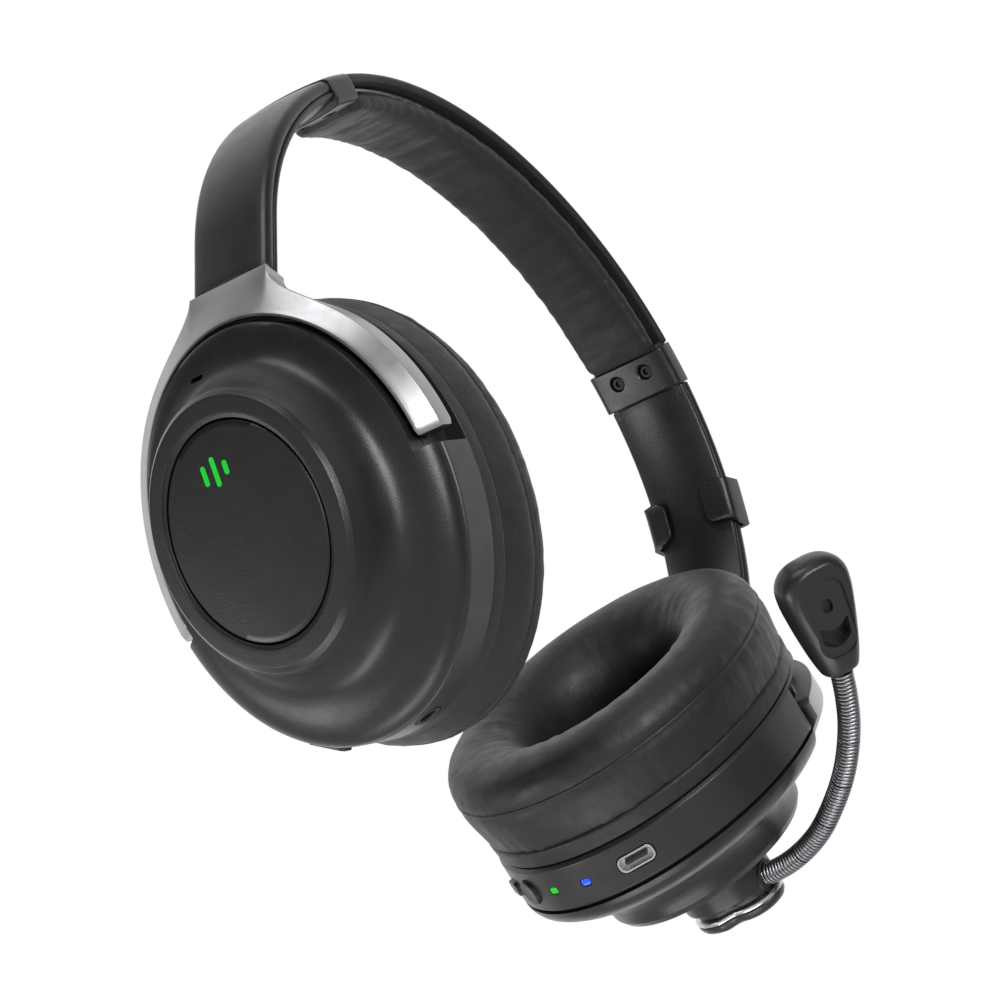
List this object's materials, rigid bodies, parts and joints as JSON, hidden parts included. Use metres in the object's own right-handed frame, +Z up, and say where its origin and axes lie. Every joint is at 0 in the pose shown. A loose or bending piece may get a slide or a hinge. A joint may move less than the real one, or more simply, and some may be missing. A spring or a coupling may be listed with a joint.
{
  "type": "aviation headset",
  "caption": "Over-ear aviation headset: padded band, sliding arms, swivelling yokes, tilting oval ear cups and a flexible boom microphone on the left cup.",
  "frame": {"origin": "the underside of the headband pad at its crown, where the headset hangs on a head", "axes": "+Z up, front (the wearer's face) at -Y, the wearer's left ear at +X"},
  "size_m": [0.1933, 0.1048, 0.1761],
  "materials": {
    "satin_plastic": "satin dark grey moulded plastic",
    "soft_plastic": "soft matt dark plastic",
    "leather": "soft black leatherette with a fine grain",
    "dark_chrome": "dark satin nickel",
    "steel": "satin steel",
    "black_part": "black moulded plastic",
    "rubber": "black ribbed rubber sleeve",
    "circuit": "green solder mask",
    "cell": "foil pouch",
    "light_green": "lit green lens",
    "light_blue": "lit blue lens"
  },
  "bodies": {
    "headband": {"band_cover": "soft_plastic", "band_spring": "steel", "band_pad": "leather", "collar_left": "satin_plastic", "arm_shell_left": "satin_plastic", "arm_lid_left": "soft_plastic", "collar_right": "satin_plastic", "arm_shell_right": "satin_plastic", "arm_lid_right": "soft_plastic", "collar_screw_left_front": "steel", "collar_screw_left_rear": "steel", "collar_screw_right_front": "steel", "collar_screw_right_rear": "steel", "boom_clip": "satin_plastic"},
    "slider_left": {"slider_left": "steel"},
    "yoke_left": {"yoke_left": "dark_chrome", "pivot_pin_left_front": "steel", "pivot_pin_left_rear": "steel"},
    "cup_left": {"cup_body_left": "satin_plastic", "cup_cover_left": "satin_plastic", "cup_panel_left": "satin_plastic", "baffle_left": "black_part", "cushion_plate_left": "black_part", "ear_cushion_left": "leather", "speaker_driver_left": "black_part", "circuit_board": "circuit", "usb_port": "steel", "status_light_blue": "light_blue", "status_light_green": "light_green"},
    "slider_right": {"slider_right": "steel"},
    "yoke_right": {"yoke_right": "dark_chrome", "pivot_pin_right_front": "steel", "pivot_pin_right_rear": "steel"},
    "cup_right": {"cup_body_right": "satin_plastic", "cup_cover_right": "satin_plastic", "cup_panel_right": "satin_plastic", "baffle_right": "black_part", "cushion_plate_right": "black_part", "ear_cushion_right": "leather", "speaker_driver_right": "black_part", "battery": "cell", "audio_jack": "steel"},
    "power_button": {"power_button": "black_part"},
    "pairing_button": {"pairing_button": "black_part"},
    "noise_button": {"noise_button": "black_part"},
    "volume_button": {"volume_button": "black_part"},
    "boom": {"boom_hub": "satin_plastic", "boom_base": "satin_plastic", "boom_trim": "dark_chrome", "boom_cap": "satin_plastic", "gooseneck_1": "rubber"},
    "neck_2": {"gooseneck_2": "rubber"},
    "neck_3": {"gooseneck_3": "rubber"},
    "neck_4": {"gooseneck_4": "rubber"},
    "neck_5": {"gooseneck_5": "rubber"},
    "neck_6": {"gooseneck_6": "rubber", "mic_shell_front": "satin_plastic", "mic_shell_back": "satin_plastic", "mic_element": "steel"}
  },
  "joints": [
    {"name": "size_left", "type": "slide", "parent": "headband", "child": "slider_left", "axis": [0, 0, -1], "range_m": [0, 0.022]},
    {"name": "swivel_left", "type": "hinge", "parent": "slider_left", "child": "yoke_left", "pos_m": [0.0858, 0, -0.0801], "axis": [0, 0, 1], "range_deg": [-15, 90]},
    {"name": "tilt_left", "type": "hinge", "parent": "yoke_left", "child": "cup_left", "pos_m": [0.06853, 0, -0.11697], "axis": [0, -1, 0], "range_deg": [-3, 12]},
    {"name": "size_right", "type": "slide", "parent": "headband", "child": "slider_right", "axis": [0, 0, -1], "range_m": [0, 0.022]},
    {"name": "swivel_right", "type": "hinge", "parent": "slider_right", "child": "yoke_right", "pos_m": [-0.0858, 0, -0.0801], "axis": [0, 0, -1], "range_deg": [-15, 90]},
    {"name": "tilt_right", "type": "hinge", "parent": "yoke_right", "child": "cup_right", "pos_m": [-0.06853, 0, -0.11697], "axis": [0, 1, 0], "range_deg": [-3, 12]},
    {"name": "power_button_press", "type": "slide", "parent": "cup_left", "child": "power_button", "axis": [0.4164, -0.647, 0.6387], "range_m": [0, 0.0009], "stiffness_N_per_m": 900, "springref_m": -0.0004},
    {"name": "pairing_button_press", "type": "slide", "parent": "cup_left", "child": "pairing_button", "axis": [0.3286, -0.7988, 0.504], "range_m": [0, 0.0009], "stiffness_N_per_m": 900, "springref_m": -0.0004},
    {"name": "noise_button_press", "type": "slide", "parent": "cup_right", "child": "noise_button", "axis": [-0.4687, -0.5131, 0.719], "range_m": [0, 0.0009], "stiffness_N_per_m": 900, "springref_m": -0.0004},
    {"name": "volume_button_press", "type": "slide", "parent": "cup_right", "child": "volume_button", "axis": [-0.2991, -0.8367, 0.4588], "range_m": [0, 0.0009], "stiffness_N_per_m": 900, "springref_m": -0.0004},
    {"name": "boom_turn", "type": "hinge", "parent": "cup_left", "child": "boom", "pos_m": [0.08355, 0, -0.13989], "axis": [0.8377, 0, -0.5461], "range_deg": [-50, 60]},
    {"name": "neck_bend_2", "type": "hinge", "parent": "boom", "child": "neck_2", "pos_m": [0.08393, -0.01539, -0.14207], "axis": [0.5431, -0.1045, 0.8331], "range_deg": [-1.5, 12]},
    {"name": "neck_bend_3", "type": "hinge", "parent": "neck_2", "child": "neck_3", "pos_m": [0.08036, -0.02585, -0.14105], "axis": [0.5431, -0.1045, 0.8331], "range_deg": [-1.5, 12]},
    {"name": "neck_bend_4", "type": "hinge", "parent": "neck_3", "child": "neck_4", "pos_m": [0.07454, -0.03493, -0.13839], "axis": [0.5431, -0.1045, 0.8331], "range_deg": [-1.5, 12]},
    {"name": "neck_bend_5", "type": "hinge", "parent": "neck_4", "child": "neck_5", "pos_m": [0.06757, -0.04284, -0.13484], "axis": [0.5431, -0.1045, 0.8331], "range_deg": [-1.5, 12]},
    {"name": "neck_bend_6", "type": "hinge", "parent": "neck_5", "child": "neck_6", "pos_m": [0.05955, -0.04914, -0.13041], "axis": [0.5431, -0.1045, 0.8331], "range_deg": [-1.5, 12]}
  ]
}
